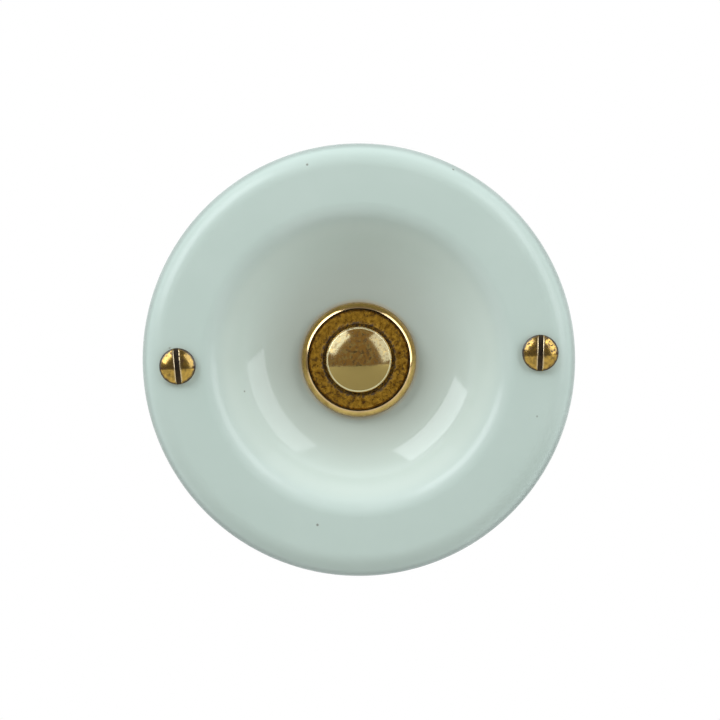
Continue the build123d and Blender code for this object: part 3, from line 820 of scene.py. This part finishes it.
# plate screws
plateScrew = {
    "radius": 3.0, "height": 1.8, "crown": 4.8, "slotWidth": 0.8, "slotDepth": 1.2, "slotEdge": 0.11,
    "seat": -14.0, "facing": -1, "body": [(3.0, 0.1), (2.9, 0.0), (1.3, 0.0), (1.3, -14.0), (0.0, -14.0)],
    "spacing": plate["screwSpacing"], "turns": (3.6, -4.15),
    "thread": 1.5, "threadDepth": 0.2, "pitch": 0.5, "threadEnd": 11.0,
}


def makePlateScrews(size):
    thread = bakeTree("screwShank", screwThread, {
        "Radius": size["thread"] * mm, "Depth": size["threadDepth"] * mm, "Pitch": size["pitch"] * mm,
        "Start": 0.0, "End": size["threadEnd"] * mm, "Material": screwBrass,
    })
    shape = slottedHead(size)
    shape.from_mesh(thread.data)
    bpy.data.objects.remove(thread)
    left, right = (math.radians(-turn) for turn in size["turns"])
    return bakeTree("plateScrews", pairAcross, {
        "Spacing": size["spacing"] * mm, "Left Turn": left, "Right Turn": right, "Material": screwBrass,
    }, meshFrom(shape, "plateScrew"))


finishPiece(makePlateScrews(plateScrew), "housing", "screw_brass", "plate_screws")


# terminal screws and their washers
terminal = {
    "radius": 2.7, "height": 1.7, "crown": 9.3, "slotWidth": 0.8, "slotDepth": 0.9, "slotEdge": 0.1,
    "seat": 15.0, "facing": 1, "body": [(2.7, 0.1), (2.6, 0.0), (1.5, 0.0), (1.5, -4.5), (0.0, -4.5)],
    "spacing": 9.4, "turns": (8.0, -14.0),
}
clampWasher = {"radius": 2.6, "bore": 1.55, "front": -14.5, "back": -15.0, "break": 0.08}


def makeTerminalScrews(size):
    left, right = (math.radians(turn) for turn in size["turns"])
    return bakeTree("terminalScrews", pairAcross, {
        "Spacing": size["spacing"] * mm, "Left Turn": left, "Right Turn": right, "Material": contactBrass,
    }, meshFrom(slottedHead(size), "terminalScrew"))


def makeClampWashers(size):
    small = size["break"]
    one = turnPiece("clampWasher", roundCorners([
        (size["bore"], size["back"], small), (size["radius"], size["back"], small),
        (size["radius"], size["front"], small), (size["bore"], size["front"], small),
    ], 3), contactBrass, 64)
    values = {"Spacing": terminal["spacing"] * mm, "Material": contactBrass}
    pair = bakeTree("clampWashers", pairAcross, values, one.data)
    bpy.data.objects.remove(one)
    return pair


finishPiece(makeTerminalScrews(terminal), "housing", "contact_brass", "terminal_screws")
finishPiece(makeClampWashers(clampWasher), "housing", "contact_brass", "clamp_washers")


# return spring, which the button presses shorter; built here at its rest length
spring = {"radius": 3.59, "wire": 0.5, "turns": 4, "front": 3.5, "back": 9.5, "travel": 2.0, "crease": 50}


def makeCoiling():
    tree, given, result = newGroup("coiledSpring", "GeometryNodeTree", {
        "Radius": 0.0036,
        "Wire": 0.0005,
        "Turns": 4.0,
        "Front": 0.0035,
        "Back": 0.0095,
        "Material": "Material",
    }, {"Piece": "Geometry"})
    coil = addNode(tree, "GeometryNodeCurveSpiral", {
        "Resolution": 48, "Rotations": given["Turns"], "Start Radius": given["Radius"],
        "End Radius": given["Radius"], "Height": 0.0,
    }).outputs[0]
    flat = addNode(tree, "GeometryNodeInputPosition").outputs[0]
    flat = addNode(tree, "ShaderNodeSeparateXYZ", {0: flat}).outputs
    along = addNode(tree, "GeometryNodeSplineParameter").outputs["Factor"]
    closed = mathNode(tree, "DIVIDE", 0.5, given["Turns"])  # half a turn lies flat at each end
    half = mathNode(tree, "MULTIPLY", given["Wire"], 0.5)
    front = mathNode(tree, "ADD", given["Front"], half)
    back = mathNode(tree, "SUBTRACT", given["Back"], half)
    height = rampNode(tree, along, closed, mathNode(tree, "SUBTRACT", 1.0, closed), front, back, soft=False)
    place = addNode(tree, "ShaderNodeCombineXYZ", {0: flat[0], 1: height, 2: flat[1]}).outputs[0]
    coil = addNode(tree, "GeometryNodeSetPosition", {0: coil, "Position": place}).outputs[0]
    wire = addNode(tree, "GeometryNodeCurvePrimitiveCircle", {"Resolution": 14, "Radius": half}).outputs[0]
    shape = addNode(tree, "GeometryNodeCurveToMesh", {
        "Curve": coil, "Profile Curve": wire, "Fill Caps": True,
    }).outputs[0]
    return endTree(tree, shape, given["Material"], result["Piece"])


def makeSpring(size):
    piece = bakeTree("returnSpring", makeCoiling(), {
        "Radius": size["radius"] * mm, "Wire": size["wire"] * mm, "Turns": float(size["turns"]),
        "Front": size["front"] * mm, "Back": size["back"] * mm, "Material": springSteel,
    })
    piece.data.set_sharp_from_angle(angle=math.radians(size["crease"]))
    return piece


coil = makeSpring(spring)
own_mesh(coil)
finishPiece(coil, "housing", "spring_steel", "return_spring")


# finishes of the pieces that keep their solid shape
solidFinish = {
    "ring_gasket": softRubber, "rear_gasket": softRubber, "insulating_bush": redFibre,
    "insulating_washer": redFibre, "bridge_disc": contactBrass, "stem_clip": springSteel,
    "contact_block": brownMoulding, "retaining_ring": faceBrass,
    "contact_strip_left": contactBrass, "contact_strip_right": contactBrass,
}
for name, material in solidFinish.items():
    for held in nodes[name].material_slots:
        held.material = material
print("finished solids:", len(solidFinish))


# camera, straight on, rolled a little as the plate hangs in the photo
view = {"distance": 0.62, "width": 0.11906, "sensor": 36, "roll": 2.1, "right": 0.18, "down": 0.07}


def makeCamera(size):
    lens = bpy.data.cameras.new("camera")
    lens.sensor_width = size["sensor"]
    lens.lens = size["sensor"] * size["distance"] / size["width"]
    lens.clip_start, lens.clip_end = 0.01, 20
    camera = bpy.data.objects.new("camera", lens)
    scene.collection.objects.link(camera)
    camera.location = (size["right"] * mm, -size["distance"] - plate["height"] * mm, size["down"] * -mm)
    camera.rotation_euler = (math.pi / 2, math.radians(size["roll"]), 0)
    scene.camera = camera


makeCamera(view)


# a softbox on either side of the camera, above it, and long dim ones over the plate and beside it
lampColour = (0.96, 1.0, 1.05)
softboxes = {
    "softboxLeft": {"polar": 60, "rise": 42, "side": -1, "reach": 0.7, "size": (0.6, 0.34), "light": 5.0},
    "softboxRight": {"polar": 57, "rise": 27, "side": 1, "reach": 0.7, "size": (0.7, 0.35), "light": 3.4},
    "softboxTop": {"polar": 84, "rise": 90, "side": 1, "reach": 0.35, "size": (0.7, 0.16), "light": 0.9},
    "sideLeft": {"polar": 84, "rise": 0, "side": -1, "reach": 0.35, "size": (0.4, 0.16), "light": 0.3},
    "sideRight": {"polar": 84, "rise": 0, "side": 1, "reach": 0.35, "size": (0.4, 0.16), "light": 0.3},
}


def makeSoftbox(name, size):
    polar, rise = math.radians(size["polar"]), math.radians(size["rise"])
    out = math.sin(polar)
    away = Vector((size["side"] * out * math.cos(rise), -math.cos(polar), out * math.sin(rise)))
    along = Vector((-size["side"] * math.sin(rise), 0, math.cos(rise)))
    lamp = bpy.data.lights.new(name, "AREA")
    lamp.shape = "RECTANGLE"
    lamp.size, lamp.size_y = size["size"]
    lamp.energy = size["light"] * math.pi * lamp.size * lamp.size_y
    lamp.color = lampColour
    box = bpy.data.objects.new(name, lamp)
    scene.collection.objects.link(box)
    turn = Matrix((along, away.cross(along), away)).transposed()
    box.matrix_world = Matrix.Translation(away * size["reach"]) @ turn.to_4x4()


for name, size in softboxes.items():
    makeSoftbox(name, size)


# room light: dim and warm behind the camera, bright above in the plane of the wall
room = {
    "front": (0.265, 0.25, 0.217, 1), "above": (0.76, 0.79, 0.82, 1), "below": (0.5, 0.5, 0.49, 1),
    "rise": (-0.25, 0.35), "frontFade": (-0.42, -0.27),
}


def makeRoom(size):
    world = bpy.data.worlds.new("room")
    world.use_nodes = True
    scene.world = world
    tree = world.node_tree
    facing = addNode(tree, "ShaderNodeTexCoord").outputs["Generated"]
    axis = addNode(tree, "ShaderNodeSeparateXYZ", {0: facing}).outputs
    around = mixColour(tree, rampNode(tree, axis[2], *size["rise"]), size["below"], size["above"])
    colour = mixColour(tree, rampNode(tree, axis[1], *size["frontFade"]), size["front"], around)
    tree.links.new(colour, tree.nodes["Background"].inputs["Color"])


makeRoom(room)


# pale floor and white backdrop
stage = {
    "floorHeight": -0.12, "front": -0.515, "back": 0.25, "halfWidth": 0.7, "top": 0.6,
    "floorColour": (0.48, 0.475, 0.45, 1), "nearWall": (0.7, 0.7, 0.7, 1), "nearFade": (-0.045, 0.0),
    "patch": (0.6, 0.6, 0.58, 1), "patchShare": (0.3, 0.7, 0.0, 0.06), "floorRough": 0.8,
    "paper": (0.8, 0.8, 0.8, 1), "paperRough": 0.9,
}


def stagePlane(name, corners, material):
    mesh = bpy.data.meshes.new(name)
    mesh.from_pydata(corners, [], [(0, 1, 2, 3)])
    mesh.materials.append(material)
    plane = bpy.data.objects.new(name, mesh)
    scene.collection.objects.link(plane)


def makeStage(size):
    wide, low, top = size["halfWidth"], size["floorHeight"], size["top"]
    front, back = size["front"], size["back"]
    floorPaint, tree, shader = newMaterial("floorPaint")
    place = addNode(tree, "ShaderNodeTexCoord").outputs["Object"]
    cloud = addNode(tree, "ShaderNodeTexNoise", {"Vector": place, "Scale": 9.0}).outputs[0]
    depth = addNode(tree, "ShaderNodeSeparateXYZ", {0: place}).outputs[1]
    tone = mixColour(tree, rampNode(tree, depth, *size["nearFade"]), size["floorColour"], size["nearWall"])
    tone = mixColour(tree, rampNode(tree, cloud, *size["patchShare"]), tone, size["patch"])
    tree.links.new(tone, shader.inputs["Base Color"])
    shader.inputs["Roughness"].default_value = size["floorRough"]
    corners = [(-wide, front, low), (wide, front, low), (wide, back, low), (-wide, back, low)]
    stagePlane("floor", corners, floorPaint)
    paper, tree, shader = newMaterial("backdropPaper")
    shader.inputs["Base Color"].default_value = size["paper"]
    shader.inputs["Roughness"].default_value = size["paperRough"]
    white = addNode(tree, "ShaderNodeEmission", {"Color": (1, 1, 1, 1), "Strength": 1.0})
    clear = addNode(tree, "ShaderNodeBsdfTransparent")
    rays = addNode(tree, "ShaderNodeLightPath").outputs
    seen = mathNode(tree, "MAXIMUM", mathNode(tree, "MAXIMUM", rays["Is Camera Ray"], rays["Is Glossy Ray"]),
                    rays["Is Transmission Ray"])
    face = addNode(tree, "ShaderNodeMixShader", {0: seen, 1: shader.outputs[0], 2: white.outputs[0]})
    behind = addNode(tree, "ShaderNodeNewGeometry").outputs["Backfacing"]
    sheet = addNode(tree, "ShaderNodeMixShader", {0: behind, 1: face.outputs[0], 2: clear.outputs[0]})
    tree.links.new(sheet.outputs[0], tree.nodes["Material Output"].inputs["Surface"])
    corners = [(-wide, back, low), (wide, back, low), (wide, back, top), (-wide, back, top)]
    stagePlane("backdrop", corners, paper)


makeStage(stage)
scene.view_settings.view_transform = "Standard"
print("stage: camera, softboxes, room, floor and backdrop")
